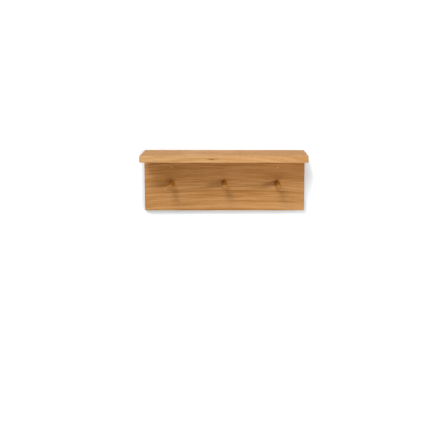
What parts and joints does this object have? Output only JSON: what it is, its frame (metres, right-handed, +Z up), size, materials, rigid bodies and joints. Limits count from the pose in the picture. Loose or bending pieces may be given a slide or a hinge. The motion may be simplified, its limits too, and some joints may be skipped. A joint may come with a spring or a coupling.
{
  "type": "wall coat rack",
  "caption": "Wall coat rack in oiled oak: straight round pegs on an upright back board hold coats, and a deep shelf board above them takes hats and gloves.",
  "frame": {"origin": "on the wall, midway between the two wall screws", "axes": "+X along the boards, to the right of someone facing the rack; +Y into the wall; +Z up, so the rack stands out towards -Y"},
  "size_m": [0.45, 0.1473, 0.17],
  "materials": {
    "shelf_oak": "oiled, satin, grain along the board",
    "back_oak": "oiled, satin, grain along the board",
    "peg_oak": "oiled, satin, grain along the peg",
    "screw_steel": "brass plated, aged and dull",
    "dowel_beech": "bare, fluted"
  },
  "bodies": {
    "root": {"shelf_board": "shelf_oak", "back_board": "back_oak", "left_peg": "peg_oak", "middle_peg": "peg_oak", "right_peg": "peg_oak", "left_wall_screw": "screw_steel", "right_wall_screw": "screw_steel", "shelf_dowel_1": "dowel_beech", "shelf_dowel_2": "dowel_beech", "shelf_dowel_3": "dowel_beech", "shelf_dowel_4": "dowel_beech"}
  },
  "joints": []
}
